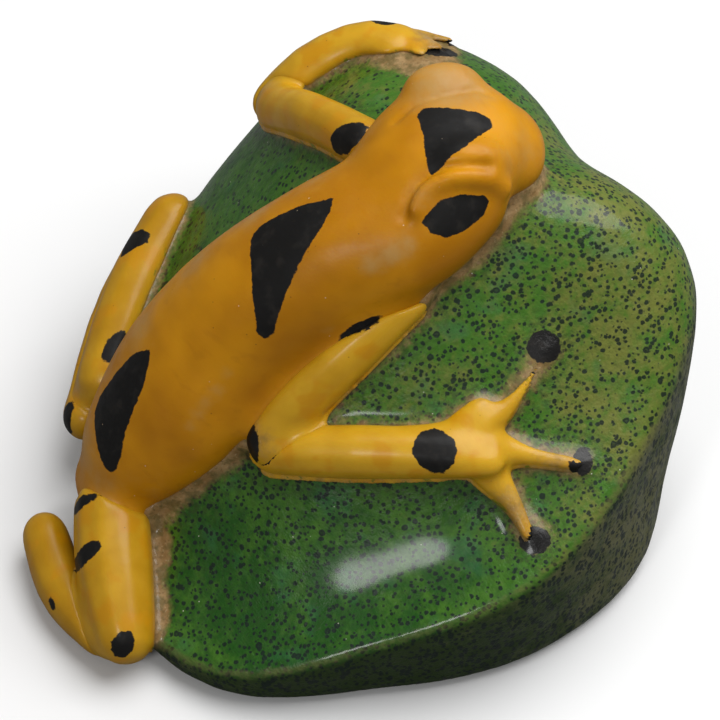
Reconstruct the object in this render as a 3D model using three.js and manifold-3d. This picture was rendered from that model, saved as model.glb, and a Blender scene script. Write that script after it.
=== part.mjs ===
// A frog carved in relief out of one palm nut and coloured with ink: a hand-sized ornament.
// The frog climbs the sloping back of the nut, head at the top. Each solid below is one carved
// volume, bounded by the grooves that the carver cut: the nut, the body with its head, and the limbs.
// Millimetres, +Z up, +X the way the frog climbs, +Y to its left, origin inside the flat foot.
import * as THREE from "three";
import { mergeVertices } from "three/addons/utils/BufferGeometryUtils.js";
import Module from "manifold-3d";

const wasm = await Module();
wasm.setup();

// ---- Driving dimensions ----
const GAP = 0.48; // clearance between neighbouring carved volumes

const NUT = {
  length: 50, // along X at the rim, where the outline below is 1
  width: 50, // along Y at the rim, where the outline below is 1
  // how far out the rim runs, every 30 degrees from +X towards +Y
  outline: [0.87, 1, 1.13, 0.98, 0.89, 0.93, 1.06, 1.17, 1.06, 1.08, 1.05, 1.075],
  // how far out the foot runs, in the same way
  foot: [0.84, 0.94, 1.07, 0.93, 0.85, 0.9, 1.03, 1.14, 1.02, 1.035, 1.055, 0.93],
};
const RIM = {
  height: 13.2, // above the foot, over the origin
  slope: 0.39, // rise per millimetre towards the head
  lowest: 1.2, // kept above the foot at the tail end
};
const DOME = {
  height: 17.8, // crown above the rim
  shoulder: 0.56, // exponent of the round shoulder: a smaller one is squarer
  // how far the face runs out flat to a brim in place of a round shoulder, every 30 degrees
  brims: [0, 0, 0, 0.2, 0.4, 0.5, 0.7, 1, 1, 1, 0.65, 0],
};

// Each station is a plan position as shares of the nut's half length and half width, then the
// height of the limb's middle above the nut, its half width and its half height in millimetres.
const BODY = {
  spine: [
    [-0.93, 0.14, 1.4, 3.4, 3.4],
    [-0.86, 0.12, 1.8, 5.4, 5],
    [-0.67, 0.1, 2, 7.3, 6.3],
    [-0.48, 0.08, 2.1, 7, 6.5],
    [-0.32, 0.02, 2.1, 6.5, 6.4],
    [-0.14, -0.05, 2, 6.3, 6],
    [0.04, -0.1, 2.2, 6.8, 5.5],
    [0.18, -0.08, 3, 7, 5.2],
    [0.3, -0.04, 3.4, 6.8, 5],
    [0.38, -0.055, 3.2, 6, 4.4],
    [0.45, -0.075, 2.3, 4.5, 3.5],
  ],
  eyes: [
    [0.24, -0.19, 6.8],
    [0.34, 0.12, 6.4],
  ],
  eyeHump: [3.6, 2.2, 2.5], // half length, half width and half height
  headTurn: -24, // degrees to its left
};
const LIMBS = {
  right_upper_arm: [
    [
      [-0.04, -0.28, 1.2, 2, 2.4],
      [-0.33, -0.28, 1.5, 2, 2.5],
      [-0.54, -0.24, 1.2, 2.1, 2.3],
    ],
  ],
  right_forearm: [
    [
      [-0.55, -0.28, 1.2, 2.1, 2.3],
      [-0.37, -0.45, 1.2, 2.3, 2.4],
      [-0.17, -0.59, 1.1, 2.4, 2.3],
      [-0.06, -0.64, 0.9, 3.3, 2],
      [0.03, -0.67, 0.5, 3.7, 1.6],
    ],
    [
      [0.04, -0.62, 0.5, 2, 1.4],
      [0.1, -0.635, 0.4, 1.3, 1.2],
      [0.2, -0.62, 0.3, 0.95, 1],
      [0.31, -0.57, 0.1, 1.3, 0.9],
    ],
    [
      [0.05, -0.69, 0.5, 2.1, 1.4],
      [0.14, -0.77, 0.4, 1.1, 1.1],
      [0.28, -0.87, 0.1, 1.3, 0.9],
    ],
    [
      [0.01, -0.73, 0.5, 2.1, 1.4],
      [0.03, -0.84, 0.4, 1.1, 1.1],
      [0.04, -0.96, 0.1, 1.3, 0.9],
    ],
    [
      [-0.03, -0.61, 0.6, 2, 1.6],
      [0.05, -0.595, 0.4, 1.5, 1.3],
    ],
  ],
  left_upper_arm: [
    [
      [0.12, 0.24, 1.2, 2.1, 2.4],
      [0.09, 0.49, 1.3, 2.0, 2.4],
      [0.09, 0.76, 1.2, 2.1, 2.3],
    ],
  ],
  left_forearm: [
    [
      [0.12, 0.83, 1.1, 2.2, 2.3],
      [0.27, 0.8, 1.1, 2.3, 2.4],
      [0.42, 0.73, 0.8, 2.1, 2.1],
      [0.48, 0.64, 0.4, 2.6, 1.5],
    ],
    [
      [0.54, 0.62, 0.3, 1.4, 1.1],
      [0.58, 0.52, 0.1, 1.3, 0.9],
    ],
    [
      [0.56, 0.66, 0.3, 1.3, 1.1],
      [0.66, 0.58, 0.1, 1.2, 0.9],
    ],
    [
      [0.52, 0.6, 0.3, 1.4, 1.1],
      [0.5, 0.48, 0.1, 1.2, 0.8],
    ],
  ],
  right_thigh: [
    [
      [-0.98, 0.06, 2.8, 3.3, 3.4],
      [-1.08, -0.13, 2.8, 3.4, 3.6],
      [-1.16, -0.33, 1.4, 2.7, 2.9],
    ],
  ],
  right_shank: [
    [
      [-1.2, -0.28, 0.5, 2.2, 2.3],
      [-1.23, -0.04, 0.3, 2.2, 2.4],
      [-1.18, 0.19, 0.5, 2, 2.3],
    ],
  ],
  left_thigh: [
    [
      [-0.75, 0.52, 1.6, 2.6, 3],
      [-0.52, 0.71, 2, 2.8, 3.2],
      [-0.29, 0.85, 1.6, 2.7, 3],
    ],
  ],
  left_shank: [
    [
      [-0.33, 0.91, 0.4, 2.2, 2.5],
      [-0.57, 0.76, 0.4, 2.2, 2.5],
      [-0.85, 0.49, 0.6, 2.1, 2.2],
    ],
  ],
};

// Facets
const NUT_MESH = { around: 56, up: 30, footShare: 0.12, wallShare: 0.22 };
const BODY_MESH = { sides: 24, steps: 26, caps: 5 };
const LIMB_MESH = { sides: 10, steps: 7, caps: 3 };

// ---- The nut ----
// A smooth curve through values that are spaced evenly around the nut.
function around(values, angle) {
  const n = values.length;
  const at = (((angle / (2 * Math.PI)) * n) % n + n) % n;
  const i = Math.floor(at);
  const f = at - i;
  const [a, b, c, d] = [-1, 0, 1, 2].map((k) => values[(i + k + n) % n]);
  return b + 0.5 * f * (c - a + f * (2 * a - 5 * b + 4 * c - d + f * (3 * (b - c) + d - a)));
}

function rimHeight(x) {
  const plain = RIM.height + RIM.slope * x - RIM.lowest;
  return RIM.lowest + 0.5 * (plain + Math.hypot(plain, 2)); // bends smoothly into the lowest height
}

// Height of the dome over the rim, at a share of the way out to the rim.
function domeHeight(share, angle) {
  const round = Math.max(0, 1 - share * share) ** DOME.shoulder;
  const bell = (1 + Math.cos(Math.PI * share)) / 2;
  const brim = THREE.MathUtils.clamp(around(DOME.brims, angle), 0, 1);
  return DOME.height * (round + (bell - round) * brim);
}

// The nut's upper face over a plan position in shares, lifted by a height.
function onNut(u, v, lift) {
  const angle = Math.atan2(v, u);
  const share = Math.min(1, Math.hypot(u, v) / around(NUT.outline, angle));
  const x = (u * NUT.length) / 2;
  const y = (v * NUT.width) / 2;
  return new THREE.Vector3(x, y, rimHeight(x) + domeHeight(share, angle) + lift);
}

// A point of the nut's skin: the foot, then the wall, then the dome. "up" runs from 0 to 1.
function nutPoint(angle, up) {
  const rim = around(NUT.outline, angle);
  const edge = new THREE.Vector3(
    (rim * Math.cos(angle) * NUT.length) / 2,
    (rim * Math.sin(angle) * NUT.width) / 2,
    0,
  );
  const foot = around(NUT.foot, angle) / rim;
  const wallEnd = NUT_MESH.footShare + NUT_MESH.wallShare;
  if (up < NUT_MESH.footShare) return edge.multiplyScalar((foot * up) / NUT_MESH.footShare);
  if (up < wallEnd) {
    const k = (up - NUT_MESH.footShare) / NUT_MESH.wallShare;
    const height = k * rimHeight(edge.x);
    edge.multiplyScalar(foot + (1 - foot) * Math.sin((k * Math.PI) / 2));
    return edge.setZ(height);
  }
  const share = Math.cos((((up - wallEnd) / (1 - wallEnd)) * Math.PI) / 2) ** 0.8;
  return onNut(rim * share * Math.cos(angle), rim * share * Math.sin(angle), 0);
}

function nutGeometry(grow) {
  const ball = new THREE.SphereGeometry(1, NUT_MESH.around, NUT_MESH.up).rotateX(Math.PI / 2);
  const skin = welded(ball);
  reshape(skin, (p) => {
    const up = 1 - Math.acos(THREE.MathUtils.clamp(p.z, -1, 1)) / Math.PI;
    return nutPoint(Math.atan2(p.y, p.x), up);
  });
  if (!grow) return skin;
  skin.computeVertexNormals();
  const out = skin.getAttribute("normal");
  reshape(skin, (p, i) => p.addScaledVector(new THREE.Vector3().fromBufferAttribute(out, i), grow));
  skin.deleteAttribute("normal");
  return skin;
}

// ---- Limbs and body ----
// A round-ended bar along a list of stations, swollen all over by "grow".
function bar(stations, grow, mesh) {
  const middles = stations.map(([u, v, lift]) => onNut(u, v, lift));
  const path = new THREE.CatmullRomCurve3(middles, false, "centripetal");
  const halfSizes = stations.map(([, , , w, h]) => new THREE.Vector3(w + grow, h + grow, 0));
  const halves = new THREE.CatmullRomCurve3(halfSizes, false, "catmullrom", 0.5);
  const skin = welded(new THREE.CapsuleGeometry(1, 1, mesh.caps, mesh.sides, mesh.steps));
  const up = new THREE.Vector3(0, 0, 1);
  reshape(skin, (p) => {
    const t = THREE.MathUtils.clamp(p.y + 0.5, 0, 1);
    const beyond = p.y - THREE.MathUtils.clamp(p.y, -0.5, 0.5);
    const along = path.getTangent(t);
    const side = along.clone().cross(up).normalize();
    const top = side.clone().cross(along).normalize();
    const half = halves.getPoint(t);
    return path
      .getPoint(t)
      .addScaledVector(side, p.x * half.x)
      .addScaledVector(top, p.z * half.y)
      .addScaledVector(along, beyond * Math.min(half.x, half.y));
  });
  return solid(skin);
}

function eyeHump([u, v, lift], grow) {
  const [long, wide, high] = BODY.eyeHump.map((half) => half + grow);
  const ball = new THREE.SphereGeometry(1, 16, 10).rotateX(Math.PI / 2).scale(long, wide, high);
  ball.rotateZ(THREE.MathUtils.degToRad(BODY.headTurn));
  const { x, y, z } = onNut(u, v, lift);
  return solid(welded(ball.translate(x, y, z)));
}

function bodySolid(grow) {
  const trunk = bar(BODY.spine, grow, BODY_MESH);
  return BODY.eyes.reduce((all, eye) => all.add(eyeHump(eye, grow)), trunk);
}

function limbSolid(bars, grow) {
  const [first, ...rest] = bars.map((stations) => bar(stations, grow, LIMB_MESH));
  return rest.reduce((all, next) => all.add(next), first);
}

// ---- Meshes ----
function welded(geometry) {
  geometry.deleteAttribute("normal");
  geometry.deleteAttribute("uv");
  return mergeVertices(geometry, 1e-4);
}

function reshape(geometry, move) {
  const place = geometry.getAttribute("position");
  for (let i = 0; i < place.count; i++) {
    const to = move(new THREE.Vector3().fromBufferAttribute(place, i), i);
    place.setXYZ(i, to.x, to.y, to.z);
  }
}

function solid(geometry) {
  const plain = mergeVertices(geometry, 1e-4);
  const vertProperties = new Float32Array(plain.getAttribute("position").array);
  const triVerts = new Uint32Array(plain.index.array);
  return new wasm.Manifold(new wasm.Mesh({ numProp: 3, vertProperties, triVerts }));
}

function geometryOf(manifold) {
  const mesh = manifold.getMesh();
  const geometry = new THREE.BufferGeometry();
  geometry.setAttribute("position", new THREE.BufferAttribute(mesh.vertProperties, 3));
  geometry.setIndex(new THREE.BufferAttribute(mesh.triVerts, 1));
  return geometry;
}

const frog = new THREE.Group();
function add(name, manifold, color, roughness) {
  const material = new THREE.MeshStandardMaterial({ color, roughness, metalness: 0 });
  const mesh = new THREE.Mesh(geometryOf(manifold), material);
  mesh.name = name;
  frog.add(mesh);
}

// Each volume gives way to the ones before it, and keeps the clearance to them.
add("nut", solid(nutGeometry(0)), 0x3f7a33, 0.35);
let taken = solid(nutGeometry(GAP));
add("body", bodySolid(0).subtract(taken), 0xb97a12, 0.4);
taken = taken.add(bodySolid(GAP));
for (const [name, bars] of Object.entries(LIMBS)) {
  add(name, limbSolid(bars, 0).subtract(taken), 0xd9a026, 0.35);
  taken = taken.add(limbSolid(bars, GAP));
}

export default frog;
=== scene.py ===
import bpy
import math
import numpy as np
import openvdb as vdb
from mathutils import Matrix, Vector, kdtree


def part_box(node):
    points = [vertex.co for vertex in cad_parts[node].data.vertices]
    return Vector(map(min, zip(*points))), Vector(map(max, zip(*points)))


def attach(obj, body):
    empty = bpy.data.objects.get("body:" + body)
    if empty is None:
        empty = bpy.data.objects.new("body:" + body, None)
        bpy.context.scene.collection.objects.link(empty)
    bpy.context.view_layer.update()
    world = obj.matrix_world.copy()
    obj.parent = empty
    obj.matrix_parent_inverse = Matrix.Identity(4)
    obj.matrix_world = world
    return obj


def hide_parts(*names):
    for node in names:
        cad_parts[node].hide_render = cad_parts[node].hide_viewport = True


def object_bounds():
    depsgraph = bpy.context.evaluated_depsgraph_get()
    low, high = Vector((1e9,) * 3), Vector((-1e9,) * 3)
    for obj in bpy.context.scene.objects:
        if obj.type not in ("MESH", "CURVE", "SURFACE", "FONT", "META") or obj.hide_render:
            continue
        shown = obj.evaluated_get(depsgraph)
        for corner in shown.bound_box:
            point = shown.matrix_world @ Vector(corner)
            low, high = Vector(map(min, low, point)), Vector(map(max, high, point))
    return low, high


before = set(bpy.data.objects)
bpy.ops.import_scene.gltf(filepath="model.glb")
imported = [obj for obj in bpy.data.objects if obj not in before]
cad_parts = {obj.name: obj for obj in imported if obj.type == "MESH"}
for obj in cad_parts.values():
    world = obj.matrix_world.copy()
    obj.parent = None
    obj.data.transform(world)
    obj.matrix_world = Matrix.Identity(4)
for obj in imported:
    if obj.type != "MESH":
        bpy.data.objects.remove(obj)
cad_low, cad_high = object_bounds()

# ---- The shelf, the light and the camera ----
# The ornament stands on a plain pale sheet. One broad soft light hangs overhead, a little to the
# head's side, a small one shines low from the tail, and weak white light comes from all round.
SEEN = 0.88  # how pale the sheet is to look at
GIVEN = 0.2  # how pale it is for the light that it throws back up on the ornament
MM = 0.001  # one millimetre in metres
TARGET = (-3, -3, 18)  # where the camera points, mm
AWAY = 0.4  # how far the camera stands off, in metres

sheet_mesh = bpy.data.meshes.new("shelf")
sheet_mesh.from_pydata([(-2, -2, 0), (2, -2, 0), (2, 2, 0), (-2, 2, 0)], [], [(0, 1, 2, 3)])
shelf = bpy.data.objects.new("shelf", sheet_mesh)
bpy.context.scene.collection.objects.link(shelf)
paper = bpy.data.materials.new("pale_paper")
paper.use_nodes = True
paper_shader = paper.node_tree.nodes["Principled BSDF"]
paper_shader.inputs["Roughness"].default_value = 0.8
paper_shader.inputs["Specular IOR Level"].default_value = 0.0
seen = paper.node_tree.nodes.new("ShaderNodeLightPath")
shade = paper.node_tree.nodes.new("ShaderNodeMapRange")
shade.inputs["To Min"].default_value = GIVEN
shade.inputs["To Max"].default_value = SEEN
paper.node_tree.links.new(seen.outputs["Is Camera Ray"], shade.inputs["Value"])
paper.node_tree.links.new(shade.outputs[0], paper_shader.inputs["Base Color"])
sheet_mesh.materials.append(paper)

middle = (cad_low + cad_high) / 2


def lamp(name, towards, distance, size, watts):
    """A round light, at a distance and of a size in metres, aimed at the ornament."""
    made = bpy.data.objects.new(name, bpy.data.lights.new(name, "AREA"))
    made.data.shape = "DISK"
    made.data.size = size
    made.data.energy = watts
    aim = Vector(towards).normalized()
    made.location = middle + aim * distance
    made.rotation_mode = "QUATERNION"
    made.rotation_quaternion = aim.to_track_quat("Z", "Y")
    bpy.context.scene.collection.objects.link(made)


lamp("softbox", (0.42, -0.04, 0.9), 0.45, 0.5, 2.6)
lamp("left_card", (-0.62, -0.43, 0.65), 0.5, 0.1, 0.4)
room = bpy.data.worlds.new("room")
room.use_nodes = True
room.node_tree.nodes["Background"].inputs["Color"].default_value = (1, 1, 1, 1)
room.node_tree.nodes["Background"].inputs["Strength"].default_value = 0.25
bpy.context.scene.world = room
bpy.context.scene.view_settings.view_transform = "Standard"

camera = bpy.data.objects.new("camera", bpy.data.cameras.new("camera"))
bpy.context.scene.collection.objects.link(camera)
bpy.context.scene.camera = camera
turn, rise = math.radians(-31), math.radians(51)
back = Vector((math.sin(turn) * math.cos(rise), -math.cos(turn) * math.cos(rise), math.sin(rise)))
camera.location = Vector(TARGET) * MM + back * AWAY
camera.rotation_mode = "QUATERNION"
camera.rotation_quaternion = (-back).to_track_quat("-Z", "Y")
camera.data.sensor_width = 36
camera.data.lens = 240
camera.data.clip_start = 0.01

# ---- The nut ----
# One seed of an ivory palm, cut flat underneath and carved all over with a knife, so its back
# slopes down to a worn brim. It is stained green and dotted with a pen, but for a bare tan line
# along the frog, and polished. Its skin is taken from the solids, smoothed as sanding does.
GRAIN = 0.35  # spacing of the points on the nut's skin, mm
EMBED = 1.2  # how far a skin runs up inside the limb that stands on it, mm
FILLET = 1.5  # width of the hollow that the knife leaves along a limb, mm
BODY_FILLET = 1.7 * FILLET  # the same along the body, mm
NUT_SAND = 0.6  # how widely the nut and the body are sanded, mm
LIMB_SAND = 0.45  # how widely the arms and legs are sanded, mm
GROW = 0.02  # sanding takes this off the nut, so it is put back, mm
WOBBLE = 0.07  # height of the waves that knife and sandpaper leave on the nut, mm
SHY = 0.12  # how far the nut's fillet keeps inside the skin of what stands on it, mm
MARGIN = 3  # room left round the solids, mm
BAND = 2.6  # how far out distances to a solid are worked out, mm
WALL = 0.42  # the nut's skin is wall where it faces up less than this
BRIM_ANGLE = 28  # edges of the solid nut sharper than this are brim, in degrees
SPOT_DEPTH = 3  # a spot marks nothing farther than this above or below its middle, mm
SPOT_SPREAD = 0.08  # how far ink creeps past the corners of a spot, mm
LIMBS = [
    "right_upper_arm", "right_forearm", "left_upper_arm", "left_forearm",
    "right_thigh", "right_shank", "left_thigh", "left_shank",
]


class Block:
    """A box of evenly spaced points around some solids; positions are in millimetres."""

    def __init__(self, low, high, step):
        self.step = step
        self.low = np.floor((np.array(low) / MM - MARGIN) / step).astype(int)
        self.size = np.ceil((np.array(high) / MM + MARGIN) / step).astype(int) - self.low
        self.place = vdb.createLinearTransform(voxelSize=step)

    def depth(self, *nodes):
        """Distance to the joined solids of some nodes, less than zero inside."""
        points, faces, count = [], [], 0
        for node in nodes:
            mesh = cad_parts[node].data
            mesh.calc_loop_triangles()
            co = np.empty(len(mesh.vertices) * 3, np.float32)
            mesh.vertices.foreach_get("co", co)
            tri = np.empty(len(mesh.loop_triangles) * 3, np.int32)
            mesh.loop_triangles.foreach_get("vertices", tri)
            points.append(co.reshape(-1, 3) / MM)
            faces.append(tri.reshape(-1, 3) + count)
            count += len(mesh.vertices)
        reach = math.ceil(BAND / self.step)
        level = vdb.FloatGrid.createLevelSetFromPolygons(
            np.concatenate(points).astype(np.float32),
            triangles=np.concatenate(faces).astype(np.uint32),
            transform=self.place,
            halfWidth=reach,
        )
        out = np.empty(self.size, np.float32)
        level.copyToArray(out, ijk=tuple(int(v) for v in self.low))
        return out

    def waves(self, seed, lengths):
        """Gentle random waves from -1 to 1, as left by a knife and sandpaper."""
        rng = np.random.default_rng(seed)
        axes = [(np.arange(n) + l) * self.step for n, l in zip(self.size, self.low)]
        total = np.zeros(self.size, np.float32)
        for length in lengths:
            way = rng.normal(size=3)
            way *= 2 * math.pi / (length * np.linalg.norm(way))
            x, y, z = [np.exp(1j * (w * a)).astype(np.complex64) for w, a in zip(way, axes)]
            phase = np.complex64(np.exp(2j * math.pi * rng.random()))
            total += np.real(phase * x[:, None, None] * y[None, :, None] * z[None, None, :])
        return total / len(lengths)

    def read(self, values, points):
        """The block's values at free points, in millimetres."""
        at = points / self.step - self.low
        i = np.clip(np.floor(at).astype(int), 0, self.size - 2)
        f = np.clip(at - i, 0, 1)
        out = np.zeros(len(points), np.float32)
        for corner in range(8):
            d = np.array([corner & 1, corner >> 1 & 1, corner >> 2 & 1])
            w = np.prod(np.where(d, f, 1 - f), axis=1)
            j = i + d
            out += w * values[j[:, 0], j[:, 1], j[:, 2]]
        return out

    def borrow(self, other, values):
        """Another block's values on this block's points."""
        for axis in range(3):
            at = (np.arange(self.size[axis]) + self.low[axis]) * self.step / other.step
            at = np.clip(at - other.low[axis], 0, other.size[axis] - 1.001)
            i = at.astype(int)
            f = (at - i).astype(np.float32).reshape([-1 if a == axis else 1 for a in range(3)])
            values = np.take(values, i, axis) * (1 - f) + np.take(values, i + 1, axis) * f
        return values

    def height(self):
        """Each point's height above the shelf."""
        levels = (np.arange(self.size[2]) + self.low[2]) * self.step
        return levels.astype(np.float32)[None, None, :]

    def strand(self, path, reach):
        """Distance to a line through some points, never more than a reach."""
        low = np.maximum(np.floor((path.min(0) - reach) / self.step).astype(int) - self.low, 0)
        high = np.minimum(np.ceil((path.max(0) + reach) / self.step).astype(int) - self.low, self.size)
        axes = [(np.arange(a, b) + l) * self.step for a, b, l in zip(low, high, self.low)]
        grid = np.stack(np.meshgrid(*axes, indexing="ij"), -1).astype(np.float32)
        near = np.full(grid.shape[:3], reach, np.float32)
        for a, b in zip(path, path[1:]):
            t = np.clip((grid - a) @ (b - a) / ((b - a) @ (b - a)), 0, 1)
            near = np.minimum(near, np.linalg.norm(grid - a - t[..., None] * (b - a), axis=-1))
        out = np.full(self.size, reach, np.float32)
        out[low[0]:high[0], low[1]:high[1], low[2]:high[2]] = near
        return out

    def skin(self, name, values):
        """A closed mesh where the values pass through zero."""
        level = vdb.FloatGrid(5.0)
        level.copyFromArray(values, ijk=tuple(int(v) for v in self.low))
        level.transform = self.place
        points, triangles, quads = level.convertToPolygons(0.0, 0.0)
        mesh = bpy.data.meshes.new(name)
        faces = [tuple(q) for q in quads.tolist()] + [tuple(t) for t in triangles.tolist()]
        mesh.from_pydata((points * MM).tolist(), [], faces)
        mesh.validate()
        if volume(mesh) < 0:
            mesh.flip_normals()
        mesh.shade_smooth()
        made = bpy.data.objects.new(name, mesh)
        bpy.context.scene.collection.objects.link(made)
        return made


def volume(mesh):
    """The space a closed mesh holds, less than zero if its faces look inward."""
    mesh.calc_loop_triangles()
    co = np.empty(len(mesh.vertices) * 3)
    mesh.vertices.foreach_get("co", co)
    tri = np.empty(len(mesh.loop_triangles) * 3, np.int32)
    mesh.loop_triangles.foreach_get("vertices", tri)
    a, b, c = co.reshape(-1, 3)[tri.reshape(-1, 3)].transpose(1, 0, 2)
    return float(np.einsum("ij,ij->", a, np.cross(b, c)) / 6)


def sanded(values, step, width):
    """Smooths over about a width, in millimetres, as sanding does."""
    reach = math.ceil(2.5 * width / step)
    taps = np.exp(-0.5 * (np.arange(-reach, reach + 1) * step / width) ** 2)
    taps /= taps.sum()
    for axis in range(3):
        padded = np.pad(values, [(reach, reach) if a == axis else (0, 0) for a in range(3)], "edge")
        n = values.shape[axis]
        out = np.zeros_like(values)
        for k, tap in enumerate(taps):
            out += np.float32(tap) * np.take(padded, range(k, k + n), axis=axis)
        values = out
    return values


def melted(a, b, width):
    """Two solids joined with a hollow fillet."""
    h = np.maximum(width - np.abs(a - b), 0) / width
    return np.minimum(a, b) - h * h * width / 4


def points_of(piece):
    co = np.empty(len(piece.data.vertices) * 3, np.float32)
    piece.data.vertices.foreach_get("co", co)
    return co.reshape(-1, 3) / MM


def facings_of(piece):
    out = np.empty(len(piece.data.vertices) * 3, np.float32)
    piece.data.vertex_normals.foreach_get("vector", out)
    return out.reshape(-1, 3)


def mark(piece, name, values):
    """Keeps a value for each point of a piece, for its material to read."""
    layer = piece.data.attributes.new(name, "FLOAT", "POINT")
    layer.data.foreach_set("value", values.astype(np.float32))


ends = np.array([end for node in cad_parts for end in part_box(node)])
whole = Block(ends.min(0), ends.max(0), GRAIN)
nut_depth = sanded(whole.depth("nut"), GRAIN, NUT_SAND) - GROW
body_depth = sanded(whole.depth("body"), GRAIN, NUT_SAND)
limb_depth = sanded(whole.depth(*LIMBS), GRAIN, LIMB_SAND)
ground = nut_depth + WOBBLE * whole.waves(3, [7, 9, 12, 15, 11])
nut_values = melted(ground, np.maximum(limb_depth + SHY, ground - EMBED), FILLET)
nut_values = melted(nut_values, np.maximum(body_depth + SHY, ground - EMBED), BODY_FILLET)
nut_values = np.maximum(nut_values, -whole.height())
nut = whole.skin("carved_nut", nut_values)
nut_points = points_of(nut)
mark(nut, "line", whole.read(np.minimum(limb_depth, body_depth - 0.5), nut_points))
mark(nut, "wall", np.clip((WALL - facings_of(nut)[:, 2]) / 0.24, 0, 1))

# the brim is the line of sharp edges where the sloping back of the nut meets its wall
solid_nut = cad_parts["nut"].data
corner = [tuple(round(c, 6) for c in v.co) for v in solid_nut.vertices]
facing = {}
for face in solid_nut.polygons:
    for a, b in face.edge_keys:
        facing.setdefault(tuple(sorted((corner[a], corner[b]))), []).append(face.normal.copy())
sharp = [ends for ends, pair in facing.items()
         if len(pair) == 2 and pair[0].angle(pair[1], 0) > math.radians(BRIM_ANGLE)
         and min(ends[0][2], ends[1][2]) > 0.002]
tree = kdtree.KDTree(len(sharp) * 8)
for i, (a, b) in enumerate(sharp):
    for k in range(8):
        tree.insert(Vector(a).lerp(Vector(b), k / 8), i * 8 + k)
tree.balance()
mark(nut, "brim", np.array([tree.find(p)[2] / MM for p in (nut_points * MM).tolist()]))


def dabbed(piece, node, name, dabs, start):
    """Marks soft dabs on a piece: each is x, y, z in hundredths of the node's box, its reach in
    millimetres and the value it leaves there."""
    low, high = [np.array(c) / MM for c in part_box(node)]
    p = points_of(piece)
    value = np.full(len(p), float(start))
    for x, y, z, reach, amount in dabs:
        gap = p - (low + np.array([x, y, z]) / 100 * (high - low))
        value += (amount - value) * np.exp(-(gap * gap).sum(1) / reach ** 2)
    mark(piece, name, value)


# how strong the green is: 0 is a thin olive wash and 1 is the deepest green; low on the wall it also
# holds painted light and painted shade
dabbed(nut, "nut", "stain_and_shading", [
    (12, 37, 24, 6, 0.95), (9, 45, 24, 2.2, 0.3), (21, 21, 26, 8, 0.9), (11, 21, 16, 5, 0.85),
    (29, 21, 34, 6, 0.75), (40, 16, 40, 5, 0.6), (40, 6, 33, 5, 0.55), (49, 6, 39, 3.5, 0.75),
    (56, 3, 38, 3, 0.3), (68, 14, 60, 4, 0.45), (74, 15, 64, 6, 0.15), (78, 10, 60, 4, 0.3),
    (85, 22, 80, 8, 0.2), (86, 36, 96, 7, 0.15), (94, 50, 85, 7, 0.35), (74, 34, 94, 5, 0.35),
    (64, 36, 90, 4, 0.3), (52, 32, 77, 4, 0.5), (46, 31, 68, 4, 0.35), (49, 88, 59, 8, 0.7),
    # low on the wall, the pale dab at the head end is painted light and the deep dab at the tail end is
    # painted shade
    (66, 78, 91, 6, 0.4), (40, 82, 54, 6, 0.7), (72, 4, 20, 9, 0.05), (46, 1, 18, 7, 0.85),
    (28, 8, 8, 8, 1.2),
], 0.55)
# where the bare ivory line along the frog widens
dabbed(nut, "nut", "bare", [
    (8, 44, 22, 2.6, 1.5), (3, 36, 15, 2.2, 1.2), (66, 36, 90, 6, 0.5), (50, 32, 77, 3, 0.4),
    (76, 76, 95, 3.5, 1.1), (83, 73, 93, 3, 0.9), (62, 3, 44, 2.5, 0.7),
], 0.0)
# how thickly the pen dots lie
dabbed(nut, "nut", "dotting", [
    (20, 25, 25, 8, 0.85), (8, 32, 25, 5, 0.6), (78, 20, 70, 9, 0.95), (72, 14, 62, 4, 0.8),
    (92, 30, 85, 9, 0.8), (42, 10, 40, 6, 0.7), (52, 5, 41, 3, 0.6), (50, 90, 62, 12, 0.25),
    (60, 70, 90, 7, 0.2),
], 0.7)


def spotted(piece, node, spots):
    """Marks the distance to the nearest black spot, less than zero inside. A spot is its corners
    in thousandths of the node's box, or the two ends of an oval and its width in millimetres."""
    low, high = [np.array(c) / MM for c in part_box(node)]
    p, facing = points_of(piece), facings_of(piece)
    nearest = np.full(len(p), 5.0)
    for corners, width in spots:
        ring = low + np.array(corners) / 1000 * (high - low)
        centre = ring.mean(0)
        out = facing[((p - centre) ** 2).sum(1).argmin()].astype(float)
        if not width:
            turn = np.cross(ring - centre, np.roll(ring, -1, 0) - centre).sum(0)
            out = turn / np.linalg.norm(turn) * (1 if turn @ out > 0 else -1)
        along = ring[0] - centre
        along -= out * (along @ out)
        half = np.linalg.norm(along)
        along /= half
        across = np.cross(out, along)
        x, y, h = (p - centre) @ along, (p - centre) @ across, (p - centre) @ out
        if width:
            gap = (np.hypot(x / half, y / (width / 2)) - 1) * width / 2
        else:
            gap = np.full(len(p), 1e3)
            inside = np.zeros(len(p), bool)
            flat = np.stack([(ring - centre) @ along, (ring - centre) @ across], 1)
            for (ax, ay), (bx, by) in zip(flat, np.roll(flat, -1, 0)):
                dx, dy = bx - ax, by - ay
                t = np.clip(((x - ax) * dx + (y - ay) * dy) / (dx ** 2 + dy ** 2), 0, 1)
                gap = np.minimum(gap, np.hypot(x - ax - t * dx, y - ay - t * dy))
                inside ^= ((ay > y) != (by > y)) & (x < dx * (y - ay) / (dy + 1e-12) + ax)
            gap = np.where(inside, -gap, gap) - SPOT_SPREAD
        gap = np.maximum(gap, np.abs(h) - SPOT_DEPTH)
        nearest = np.minimum(nearest, np.where(facing @ out < 0.1, np.maximum(gap, 0.3), gap))
    mark(piece, "spot", nearest)


# the black dabs at the fingertips run out on the nut
spotted(nut, "nut", [
    ([(662, 253, 752), (711, 229, 744)], 2.7), ([(681, 116, 575), (661, 81, 533)], 1.6),
    ([(532, 67, 433), (575, 40, 440)], 2.3), ([(797, 775, 955), (855, 760, 897)], 1.9),
    ([(855, 790, 901), (899, 793, 816)], 1.0),
])


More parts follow.
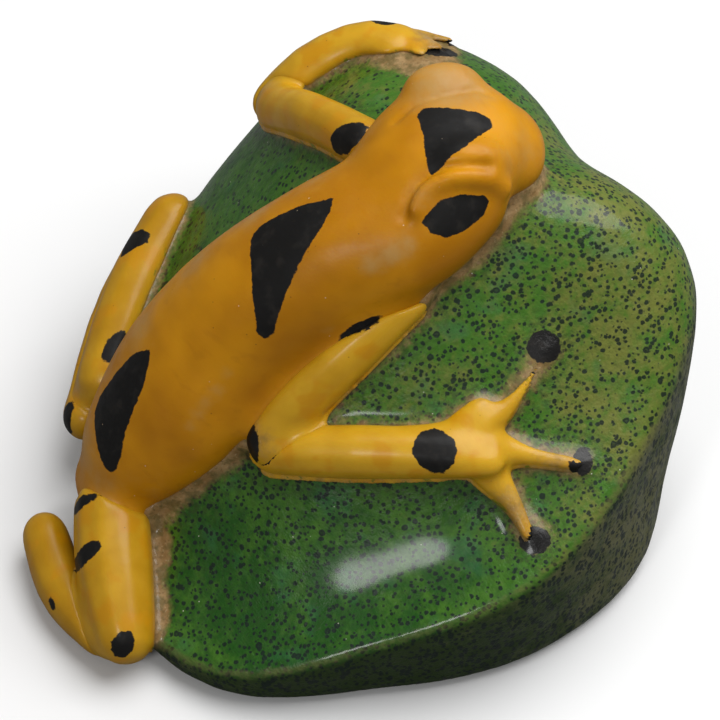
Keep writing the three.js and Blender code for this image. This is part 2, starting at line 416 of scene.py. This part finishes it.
class Recipe:
    """Short words for laying out the nodes of a finish or of an effect that finishes share."""

    def __init__(self, tree):
        self.tree = tree

    def give(self, socket, value):
        if isinstance(value, bpy.types.NodeSocket):
            self.tree.links.new(value, socket)
        elif isinstance(value, tuple) and socket.type == "RGBA":
            socket.default_value = (*value, 1)
        else:
            socket.default_value = value

    def add(self, kind, values=(), **settings):
        made = self.tree.nodes.new("ShaderNode" + kind)
        count = len(self.tree.nodes)
        made.location = (200 * (count % 14), -260 * (count // 14))
        for name, value in settings.items():
            setattr(made, name, value)
        for name, value in dict(values).items():
            self.give(made.inputs[name], value)
        return made

    def math(self, how, *values):
        made = self.add("Math", operation=how)
        for socket, value in zip(made.inputs, values):
            self.give(socket, value)
        return made.outputs[0]

    def over(self, amount, under, top):
        """One colour laid over another by an amount."""
        return self.add("Mix", {0: amount, 6: under, 7: top}, data_type="RGBA").outputs[2]

    def ramp(self, value, start, end, low=0.0, high=1.0):
        """A soft step from low to high as a value goes from start to end."""
        return self.add("MapRange", {0: value, 1: start, 2: end, 3: low, 4: high},
                        interpolation_type="SMOOTHSTEP").outputs[0]

    def place(self):
        return self.add("TexCoord").outputs["Object"]

    def turned(self, place, turn, scale):
        return self.add("Mapping", {"Vector": place, "Rotation": turn, "Scale": scale}).outputs[0]

    def cloud(self, place, size, detail=2.0, rough=0.5, twist=0.0):
        """Smooth random patches about as wide as a size in millimetres."""
        return self.add("TexNoise", {"Vector": place, "Scale": 1000 / size, "Detail": detail,
                                     "Roughness": rough, "Distortion": twist}).outputs[0]

    def cells(self, place, size):
        """A scatter of points about a size in millimetres apart."""
        return self.add("TexVoronoi", {"Vector": place, "Scale": 1000 / size})

    def frayed(self, value, noise, amount):
        """A value moved up and down by a noise, by an amount from end to end."""
        return self.math("ADD", value, self.math("MULTIPLY_ADD", noise, amount, -amount / 2))

    def bumped(self, shader, height):
        """Lets a height in millimetres roughen the surface of a shader."""
        bump = self.add("Bump", {"Strength": 1.0, "Distance": MM, "Height": height})
        self.give(shader.inputs["Normal"], bump.outputs[0])

    def kept(self, name):
        """A value that the piece keeps at its points."""
        return self.add("Attribute", attribute_name=name).outputs["Fac"]

    def shared(self, group, **values):
        made = self.tree.nodes.new("ShaderNodeGroup")
        made.node_tree = group
        for name, value in values.items():
            self.give(made.inputs[name], value)
        return made.outputs


def effect(name, inputs, outputs):
    """An empty shared node group, with its named inputs and outputs."""
    group = bpy.data.node_groups.new(name, "ShaderNodeTree")
    for label, start in inputs.items():
        socket = group.interface.new_socket(label, in_out="INPUT", socket_type="NodeSocketFloat")
        socket.default_value = start
    for label, kind in outputs.items():
        group.interface.new_socket(label, in_out="OUTPUT", socket_type="NodeSocket" + kind)
    ends = [group.nodes.new("NodeGroup" + end) for end in ("Input", "Output")]
    return group, Recipe(group), *ends


# uncoloured ivory: tan, with darker pores and pale specks where the knife has cut
bare_ivory, r, given, made = effect("bare_ivory", {"Soiled": 0.3}, {"Colour": "Color"})
where = r.place()
colour = r.over(r.ramp(r.cloud(where, 1.7, 3), 0.35, 0.65), (0.25, 0.145, 0.05), (0.37, 0.24, 0.105))
colour = r.over(r.ramp(r.cloud(where, 0.33, 2), 0.52, 0.72, 0, 0.55), colour, (0.15, 0.085, 0.026))
chips = r.cloud(r.turned(where, (1, 2, 0), (1, 1, 1)), 0.27, 2)
colour = r.over(r.ramp(chips, 0.6, 0.72, 0, 0.5), colour, (0.5, 0.37, 0.2))
soil = r.math("MULTIPLY", given.outputs["Soiled"], r.ramp(r.cloud(where, 1.1, 3), 0.45, 0.62))
r.give(made.inputs["Colour"], r.over(soil, colour, (0.10, 0.085, 0.022)))

# polish over knife work: slow ripples, a fine grain and hairline scratches, in millimetres
polish, r, given, made = effect("polish", {"Ripple": 0.02, "Grain": 0.006, "Scratch": 0.004},
                                {"Height": "Float", "Wear": "Float"})
where = r.place()
height = r.math("MULTIPLY", r.cloud(where, 2.6, 1), given.outputs["Ripple"])
grain = r.math("MULTIPLY", r.cloud(where, 0.55, 2, 0.6), given.outputs["Grain"])
lines = r.cloud(r.turned(where, (0.3, 0.2, 0.7), (1, 0.12, 1)), 0.2, 1)
cross = r.cloud(r.turned(where, (0.1, 0.5, -0.6), (1, 0.12, 1)), 0.24, 1)
scratch = r.math("MULTIPLY", r.math("ADD", lines, cross), given.outputs["Scratch"])
r.give(made.inputs["Height"], r.math("ADD", r.math("ADD", height, grain), scratch))
r.give(made.inputs["Wear"], r.ramp(r.cloud(where, 1.9, 3, 0.6), 0.35, 0.7))

# dust and dirt caught in the wax: a few pin-point pale flecks and brown ones
flecks, r, given, made = effect("flecks", {"Amount": 0.5}, {"Pale": "Float", "Brown": "Float"})
where = r.place()
for label, size, turn, width in (("Pale", 1.15, (0, 0, 0), 0.075), ("Brown", 1.05, (2, 1, 0), 0.085)):
    cell = r.cells(r.turned(where, turn, (1, 1, 1)), size)
    chance = r.add("SeparateColor", {0: cell.outputs["Color"]}).outputs[0]
    chosen = r.math("LESS_THAN", chance, given.outputs["Amount"])
    fleck = r.ramp(cell.outputs["Distance"], width / size, 0.4 * width / size)
    r.give(made.inputs[label], r.math("MULTIPLY", fleck, chosen))

# black ink drawn with a pen: its edge is a little ragged, and it is worn brown here and there
ink_edge, r, given, made = effect("ink_edge", {"Distance": 1.0, "Ragged": 0.12},
                                  {"Ink": "Float", "Colour": "Color"})
where = r.place()
ragged = r.math("SUBTRACT", r.cloud(where, 0.5, 3, 0.6), 0.5)
ragged = r.math("MULTIPLY", ragged, given.outputs["Ragged"])
r.give(made.inputs["Ink"], r.ramp(r.math("ADD", given.outputs["Distance"], ragged), 0.05, -0.05))
black = r.over(r.ramp(r.cloud(where, 1.2, 3), 0.5, 0.75), (0.006, 0.0055, 0.005), (0.016, 0.014, 0.012))
r.give(made.inputs["Colour"], black)


def finish(name, base_rough, coat, coat_rough, scatter):
    """A polished finish; gives back its recipe and its shader."""
    material = bpy.data.materials.new(name)
    material.use_nodes = True
    shader = material.node_tree.nodes["Principled BSDF"]
    shader.inputs["IOR"].default_value = 1.5
    shader.inputs["Specular IOR Level"].default_value = 0.22
    shader.inputs["Roughness"].default_value = base_rough
    shader.inputs["Coat Weight"].default_value = coat
    shader.inputs["Coat Roughness"].default_value = coat_rough
    shader.inputs["Subsurface Weight"].default_value = scatter
    shader.inputs["Subsurface Radius"].default_value = (1.0, 0.5, 0.2)
    shader.inputs["Subsurface Scale"].default_value = 0.0012
    return material, Recipe(material.node_tree), shader


green, r, shader = finish("green_ink", 0.4, 0.35, 0.12, 0.0)
where = r.place()
mottle = r.cloud(where, 0.75, 3, 0.6)
blotch = r.cloud(where, 4.5, 3, 0.55, 0.6)
# the stain also carries painted light and painted shade low on the wall
stain_and_shading = r.frayed(r.frayed(r.kept("stain_and_shading"), blotch, 1.2), mottle, 0.8)
colour = r.over(r.ramp(stain_and_shading, 0.0, 0.55), (0.16, 0.18, 0.03), (0.05, 0.155, 0.01))
colour = r.over(r.ramp(stain_and_shading, 0.5, 1.05), colour, (0.01, 0.075, 0.003))
bluish = r.ramp(r.cloud(r.turned(where, (1, 0, 2), (1, 1, 1)), 3.6, 2), 0.56, 0.7, 0, 0.3)
colour = r.over(bluish, colour, (0.03, 0.16, 0.07))
# the wall under the brim faces away from the light, so it is painted duller and darker as shade
wall = r.kept("wall")
wall_shade = r.over(r.ramp(stain_and_shading, 0.1, 0.75), (0.125, 0.125, 0.055), (0.022, 0.04, 0.007))
colour = r.over(r.math("MULTIPLY", wall, 0.9), colour, wall_shade)
# the green turns patchily darker within about three millimetres of the frog
line = r.frayed(r.kept("line"), r.cloud(where, 1.3, 3, 0.6), 1.2)
darker_near_frog = r.math("MULTIPLY", r.ramp(line, 3.2, 0.8), r.ramp(r.cloud(where, 0.5, 3, 0.7), 0.42, 0.62))
colour = r.over(r.math("MULTIPLY", darker_near_frog, 0.6), colour, (0.03, 0.045, 0.012))
# pen dots: fine ones, larger ones that are hollow here and there, and slanting dashes on the wall
dotting = r.kept("dotting")
wobble = r.add("TexNoise", {"Vector": where, "Scale": 2600, "Detail": 1})
ragged = r.add("VectorMath", {0: wobble.outputs["Color"], 1: (0.5, 0.5, 0.5)},
               operation="SUBTRACT").outputs[0]
ragged = r.add("VectorMath", {0: ragged, "Scale": 0.22 * MM}, operation="SCALE").outputs[0]
ragged = r.add("VectorMath", {0: where, 1: ragged}, operation="ADD").outputs[0]
slant = r.turned(ragged, (0, 0, 0.5), (1, 1, 0.5))
# each kind: its place, spacing and widest radius in millimetres, share, hollow or not
PENS = [
    (ragged, 0.47, 0.22, 1.35, False),
    (ragged, 0.95, 0.3, 0.5, True),
    (slant, 0.55, 0.28, 1.1, False),
]
dots = None
for place, size, widest, share, hollow in PENS:
    cell = r.cells(place, size)
    chance = r.add("SeparateColor", {0: cell.outputs["Color"]})
    chosen = r.math("LESS_THAN", chance.outputs[0], r.math("MULTIPLY", dotting, share))
    radius = r.math("MULTIPLY", r.ramp(chance.outputs[1], 0, 1, 0.45, 1), widest / size)
    gap = r.math("SUBTRACT", cell.outputs["Distance"], radius)
    dot = r.math("MULTIPLY", r.ramp(gap, 0.04 / size, -0.05 / size), chosen)
    if hollow:
        ring = r.ramp(gap, -0.22 / size, -0.12 / size, 0.85, 1)
        dot = r.math("MULTIPLY", dot, ring)
    if place is slant:
        dot = r.math("MULTIPLY", dot, wall)
    dots = dot if dots is None else r.math("MAXIMUM", dots, dot)
ink = r.over(r.cloud(where, 1.5), (0.002, 0.006, 0.005), (0.006, 0.02, 0.012))
colour = r.over(r.math("MULTIPLY", dots, 0.93), colour, ink)
# the brim is rubbed to a yellow-green line
rubbed = r.ramp(r.frayed(r.kept("brim"), mottle, 0.8), 0.7, 0.2, 0, 0.55)
colour = r.over(rubbed, colour, (0.14, 0.14, 0.045))
# the bare line along the frog
bare = r.math("SUBTRACT", r.frayed(line, r.cloud(where, 0.35, 2), 0.5), r.kept("bare"))
bare = r.ramp(bare, 0.85, -0.1)
colour = r.over(bare, colour, r.shared(bare_ivory, Soiled=0.6)["Colour"])
edge = r.shared(ink_edge, Distance=r.kept("spot"), Ragged=0.5)
colour = r.over(edge["Ink"], colour, edge["Colour"])
specks = r.shared(flecks, Amount=0.25)
colour = r.over(specks["Pale"], colour, (0.5, 0.5, 0.4))
r.give(shader.inputs["Base Color"], colour)
surface = r.shared(polish, Ripple=0.1, Grain=0.09, Scratch=0.02)
r.give(shader.inputs["Roughness"], r.ramp(surface["Wear"], 0, 1, 0.36, 0.55))
r.give(shader.inputs["Coat Weight"], r.math("MULTIPLY_ADD", wall, -0.33, 0.35))
r.bumped(shader, surface["Height"])
nut.data.materials.append(green)
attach(nut, "root")
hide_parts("nut")

# ---- The frog's body ----
# Head and trunk are one smooth swelling left standing on the nut when the rest was cut away. It
# is inked amber, rubbed thin on its crests, and its spots are laid on top in black ink.
SINK = 0.55  # how far the frog is run down into the nut, mm
SINK_LEAST = 0.7  # but no deeper than this under the nut's own skin, mm
SKIN_WOBBLE = 0.04  # height of the hand-made waves on the frog, mm
SKIN_GROW = 0.06  # sanding takes this off the frog, so it is put back, mm
FOLD_REACH = 3.0  # how far from a fold its distance is worked out, mm

def carve(node, step, sand, later, material, seed, join=FILLET, shaping=None):
    """A piece of the frog, grown from its solid and run a little way down into the nut."""
    low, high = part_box(node)
    block = Block(low, high, step)
    own = sanded(block.depth(node), step, sand)
    ground = block.borrow(whole, nut_depth)
    down = round(SINK / step)
    shifted = own.copy()
    shifted[:, :, :-down] = own[:, :, down:]
    own = np.minimum(own, np.maximum(shifted, ground - SINK_LEAST))
    own += SKIN_WOBBLE * block.waves(seed, [4, 5, 6.5, 8]) - SKIN_GROW
    if shaping:
        own = shaping(block, own)
    if later:
        others = sanded(block.depth(*later), step, sand)
        own = melted(own, np.maximum(others + SHY, own - EMBED), join)
    piece = block.skin("frog_" + node, np.maximum(own, -block.height()))
    mark(piece, "ground", whole.read(nut_depth, points_of(piece)))
    piece.data.materials.append(material)
    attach(piece, "root")
    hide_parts(node)
    return piece


# folds of the head, through points in thousandths of the body's box: the height of the ridge, or
# zero for a groove, and how far it fades out to each side, in millimetres
FOLDS = [
    (0.3, 1.6, [(650, 183, 903), (674, 211, 923), (701, 212, 937), (735, 181, 949), (767, 143, 948),
                (802, 114, 930), (830, 103, 893)]),
    (0.0, 1.1, [(628, 183, 891), (651, 226, 914), (677, 247, 932), (704, 248, 947),
                (728, 229, 961), (764, 180, 972), (805, 140, 962)]),
    (0.0, 0.8, [(718, 573, 950), (762, 592, 963), (799, 567, 976), (846, 532, 980), (888, 521, 969),
                (901, 498, 961)]),
]


def folded(block, own):
    """Raises and sinks the head's folds on the body."""
    low, high = [np.array(c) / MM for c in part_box("body")]
    for rise, fade, path in FOLDS:
        gap = block.strand(low + np.array(path) / 1000 * (high - low), FOLD_REACH)
        own = melted(own, gap - rise, fade) if rise > 0 else -melted(-own, gap, fade)
    return own


amber, r, shader = finish("amber_ink", 0.4, 0.08, 0.3, 0.15)
where = r.place()
# the amber's depth also holds painted shade on the neck and jaw and painted light on the head top and
# shoulder
drift = r.frayed(r.kept("ink"), r.cloud(where, 5, 2), 1.2)
colour = r.over(r.ramp(drift, 0.0, 1.0), (0.66, 0.285, 0.002), (0.43, 0.165, 0.0))
strokes = r.cloud(r.turned(where, (0.2, 0.6, 0.9), (1, 0.15, 1)), 0.9, 2)
colour = r.over(r.ramp(strokes, 0.55, 0.75, 0, 0.25), colour, (0.40, 0.15, 0.002))
# paler tan where the ink is rubbed thin, and painted sheen along the left flank and rump
pale_wear_and_sheen = r.frayed(r.kept("wear_and_sheen"), r.cloud(where, 0.9, 3, 0.6), 0.5)
colour = r.over(r.ramp(pale_wear_and_sheen, 0.15, 1.0, 0, 0.85), colour, (0.47, 0.28, 0.09))
near_nut = r.frayed(r.kept("ground"), r.cloud(where, 1.2, 3), 1.2)
colour = r.over(r.ramp(near_nut, 0.9, 0.2), colour, r.shared(bare_ivory, Soiled=0.2)["Colour"])
specks = r.shared(flecks, Amount=0.3)
colour = r.over(r.math("MULTIPLY", specks["Brown"], 0.6), colour, (0.12, 0.05, 0.005))
edge = r.shared(ink_edge, Distance=r.kept("spot"), Ragged=0.35)
colour = r.over(edge["Ink"], colour, edge["Colour"])
colour = r.over(specks["Pale"], colour, (0.7, 0.55, 0.4))
r.give(shader.inputs["Base Color"], colour)
surface = r.shared(polish, Ripple=0.03, Grain=0.008, Scratch=0.004)
rough = r.ramp(surface["Wear"], 0, 1, 0.36, 0.52)
r.give(shader.inputs["Roughness"], r.math("MULTIPLY_ADD", edge["Ink"], 0.15, rough))
r.give(shader.inputs["Coat Weight"], r.math("MULTIPLY_ADD", edge["Ink"], -0.08, 0.08))
r.bumped(shader, surface["Height"])

body = carve("body", 0.25, 0.7, ["right_upper_arm", "left_upper_arm", "right_thigh"],
             amber, 5, 1.9, folded)
spotted(body, "body", [
    ([(753, 518, 971), (771, 537, 973), (826, 437, 983), (857, 387, 975), (868, 346, 968),
      (864, 316, 965), (819, 276, 981), (781, 243, 990), (709, 244, 949), (708, 273, 953),
      (722, 347, 964), (739, 423, 972)], 0),
    ([(651, 122, 884), (662, 131, 892), (698, 144, 914), (736, 121, 919), (781, 87, 904),
      (787, 72, 891), (771, 48, 872), (745, 39, 864), (721, 35, 856), (685, 45, 854),
      (661, 81, 868), (656, 110, 880)], 0),
    ([(539, 444, 873), (511, 488, 856), (482, 535, 834), (455, 566, 812), (424, 597, 785),
      (400, 594, 769), (384, 555, 762), (366, 482, 749), (352, 424, 726), (342, 381, 702),
      (336, 337, 676), (328, 298, 635), (336, 275, 628), (352, 260, 641), (364, 273, 676),
      (381, 288, 715), (403, 307, 753), (432, 330, 794), (460, 349, 823), (492, 370, 848),
      (520, 403, 865)], 0),
    ([(171, 651, 491), (161, 695, 470), (150, 727, 446), (118, 762, 382), (86, 781, 314),
      (67, 757, 286), (47, 671, 266), (35, 586, 238), (35, 551, 226), (39, 521, 222),
      (46, 504, 236), (59, 505, 271), (82, 539, 334), (115, 560, 400), (136, 575, 438),
      (161, 615, 479)], 0),
    ([(551, 87, 652), (470, 142, 600)], 1.3),
])
# where the ink is rubbed thin: the crests and some long rubs; the pale band along the left flank and
# round the rump is painted sheen
dabbed(body, "body", "wear_and_sheen", [
    (83, 60, 99, 3.2, 0.95), (88, 55, 98, 2.6, 0.7), (85, 19, 96, 2.5, 0.3), (92, 23, 90, 2.6, 0.45),
    (67, 21, 92, 1.6, 0.5), (54, 14, 81, 1.1, 0.7), (58, 11, 83, 1.1, 0.8), (61, 9, 85, 1.1, 0.7),
    (18, 33, 40, 0.8, 0.5), (20, 33, 43, 0.8, 0.5), (22, 33, 46, 0.8, 0.5), (24, 32, 49, 0.8, 0.5),
    (26, 32, 53, 0.8, 0.45), (45, 16, 64, 0.9, 0.4), (48, 10, 60, 0.9, 0.4),
    (19, 79, 48, 2.4, 0.6), (32, 78, 63, 2.4, 0.6), (43, 72, 75, 2.2, 0.6), (55, 66, 83, 2.2, 0.5),
    (3, 72, 20, 2.6, 0.7), (2, 54, 17, 2.6, 0.5), (10, 35, 20, 2.2, 0.3),
], 0.05)
# how deep the amber is; deeper on the neck and the jaw as painted shade, and paler on the head top and
# at the right shoulder as painted light
dabbed(body, "body", "ink", [
    (27, 42, 62, 8, 0.35), (29, 24, 45, 6, 0.5), (40, 20, 65, 6, 0.75), (53, 28, 86, 6, 0.85),
    (63, 37, 91, 4.5, 0.8), (60, 12, 86, 3.5, 0.75), (78, 5, 77, 4, 0.9), (76, 20, 96, 3, 0.45),
    (88, 35, 97, 3.5, 0.2), (76, 57, 95, 1.6, 0.8), (84, 53, 98, 1.4, 0.7), (12, 50, 35, 4, 0.6),
    (54, 8, 70, 3, 0.1),
], 0.5)

# ---- The frog's arms and legs ----
# Arms and legs stand on the nut in low relief, bent at elbow and knee, and the fingers thin out
# to nothing. They are inked a clearer yellow than the body, with a black dab at each joint.
yellow, r, shader = finish("yellow_ink", 0.4, 0.2, 0.2, 0.15)
where = r.place()
drift = r.frayed(r.kept("ink"), r.cloud(where, 3.5, 3), 1.2)
colour = r.over(r.ramp(drift, 0.0, 1.0), (0.66, 0.37, 0.016), (0.46, 0.225, 0.003))
deep = r.cloud(r.turned(where, (1, 1, 0), (1, 1, 1)), 2.5, 2)
deep = r.math("MULTIPLY", r.ramp(deep, 0.5, 0.65), 0.6)
colour = r.over(deep, colour, (0.58, 0.25, 0.001))
# bare near the nut and where it is rubbed, with strokes of the green pen over the edge
near_nut = r.frayed(r.kept("ground"), r.cloud(where, 1.0, 3), 1.0)
pale_wear_and_sheen = r.frayed(r.kept("wear_and_sheen"), r.cloud(where, 0.8, 3, 0.6), 0.6)
bare = r.math("MAXIMUM", r.ramp(near_nut, 1.0, 0.3, 0, 0.9), r.ramp(pale_wear_and_sheen, 0.2, 0.9))
colour = r.over(bare, colour, r.shared(bare_ivory, Soiled=0.25)["Colour"])
strokes = r.cloud(r.turned(where, (0, 0, 0.4), (1, 0.3, 1)), 0.7, 3)
fringe = r.math("MULTIPLY", r.ramp(near_nut, 0.1, 0.4), r.ramp(near_nut, 1.1, 0.7))
scribble = r.math("MULTIPLY", r.ramp(strokes, 0.6, 0.66), fringe)
colour = r.over(r.math("MULTIPLY", scribble, 0.7), colour, (0.09, 0.17, 0.01))
specks = r.shared(flecks, Amount=0.25)
colour = r.over(r.math("MULTIPLY", specks["Brown"], 0.6), colour, (0.15, 0.06, 0.005))
edge = r.shared(ink_edge, Distance=r.kept("spot"), Ragged=0.4)
colour = r.over(edge["Ink"], colour, edge["Colour"])
r.give(shader.inputs["Base Color"], colour)
surface = r.shared(polish, Ripple=0.03, Grain=0.008, Scratch=0.004)
rough = r.ramp(surface["Wear"], 0, 1, 0.32, 0.48)
r.give(shader.inputs["Roughness"], r.math("MULTIPLY_ADD", edge["Ink"], 0.15, rough))
r.give(shader.inputs["Coat Weight"], r.math("MULTIPLY_ADD", edge["Ink"], -0.15, 0.2))
r.bumped(shader, surface["Height"])

# the skin of each of these also runs into the limb after it
NEXT = {"right_upper_arm": ["right_forearm"], "left_upper_arm": ["left_forearm"],
        "right_thigh": ["right_shank"], "left_thigh": ["left_shank"]}
LIMB_SPOTS = {
    "right_upper_arm": [
        ([(712, 330, 915), (530, 560, 800)], 1.1), ([(45, 800, 260), (-5, 520, 20)], 1.9)],
    "right_forearm": [
        ([(417, 482, 622), (441, 516, 661), (477, 536, 669), (515, 522, 672), (537, 487, 676),
          (548, 429, 670), (540, 387, 643), (513, 356, 587), (480, 367, 513), (450, 396, 503),
          (422, 433, 551)], 0),
        ([(915, 530, 920), (990, 500, 900)], 2.7), ([(921, 166, 416), (895, 115, 300)], 1.6),
        ([(630, 80, 60), (710, 35, 80)], 2.3), ([(24, 924, 236), (55, 862, 410)], 1.6)],
    "left_upper_arm": [
        ([(132, 223, 805), (196, 226, 870), (315, 208, 929), (437, 173, 974), (562, 130, 995),
          (577, 100, 995), (463, 73, 976), (319, 68, 932), (188, 89, 841), (146, 145, 752),
          (121, 190, 748)], 0)],
    "left_forearm": [
        ([(644, 690, 882), (740, 550, 888)], 2.0), ([(753, 228, 945), (930, 190, 800)], 1.9),
        ([(930, 300, 775), (985, 300, 672)], 1.2)],
    "right_thigh": [
        ([(398, 893, 658), (606, 795, 955)], 1.1),
        ([(186, 705, 334), (240, 635, 683), (330, 613, 784), (379, 572, 821), (378, 536, 811),
          (283, 533, 741), (188, 550, 638), (167, 624, 422)], 0),
        ([(71, 81, 341), (86, 101, 402), (175, 104, 476), (257, 79, 474), (262, 42, 423),
          (224, 20, 348), (142, 31, 285), (85, 60, 287)], 0)],
    "right_shank": [([(70, 445, 715), (50, 375, 620)], 0.8)],
    "left_thigh": [
        ([(500, 709, 781), (568, 797, 770), (619, 822, 814), (652, 769, 898), (667, 695, 927),
          (636, 649, 909), (585, 670, 887), (532, 689, 832)], 0),
        ([(140, 150, 530), (308, 250, 622)], 1.6)],
    "left_shank": [([(65, 190, 430), (3, 100, 150)], 1.6)],
}
LIMB_WORN = {
    "right_forearm": [
        (75, 60, 85, 3, 0.6), (85, 20, 45, 2.5, 0.5), (66, 15, 20, 3, 0.6), (97, 50, 90, 2, 0.8)],
    "left_forearm": [(85, 25, 80, 2.5, 0.8)],
    "right_upper_arm": [(5, 60, 20, 2, 0.6)],
}
# how deep the yellow of each limb is
LIMB_INK = {"right_upper_arm": 0.3, "right_forearm": 0.3, "left_upper_arm": 0.5, "left_forearm": 0.35,
            "right_thigh": 0.55, "right_shank": 0.7, "left_thigh": 0.65, "left_shank": 0.65}
LIMB_SEED = 20  # the first of the eight seeds of their waves
for i, limb in enumerate(LIMBS):
    piece = carve(limb, 0.2, 0.4, NEXT.get(limb), yellow, LIMB_SEED + i)
    spotted(piece, limb, LIMB_SPOTS[limb])
    dabbed(piece, limb, "wear_and_sheen", LIMB_WORN.get(limb, []), 0.05)
    dabbed(piece, limb, "ink", [], LIMB_INK[limb])
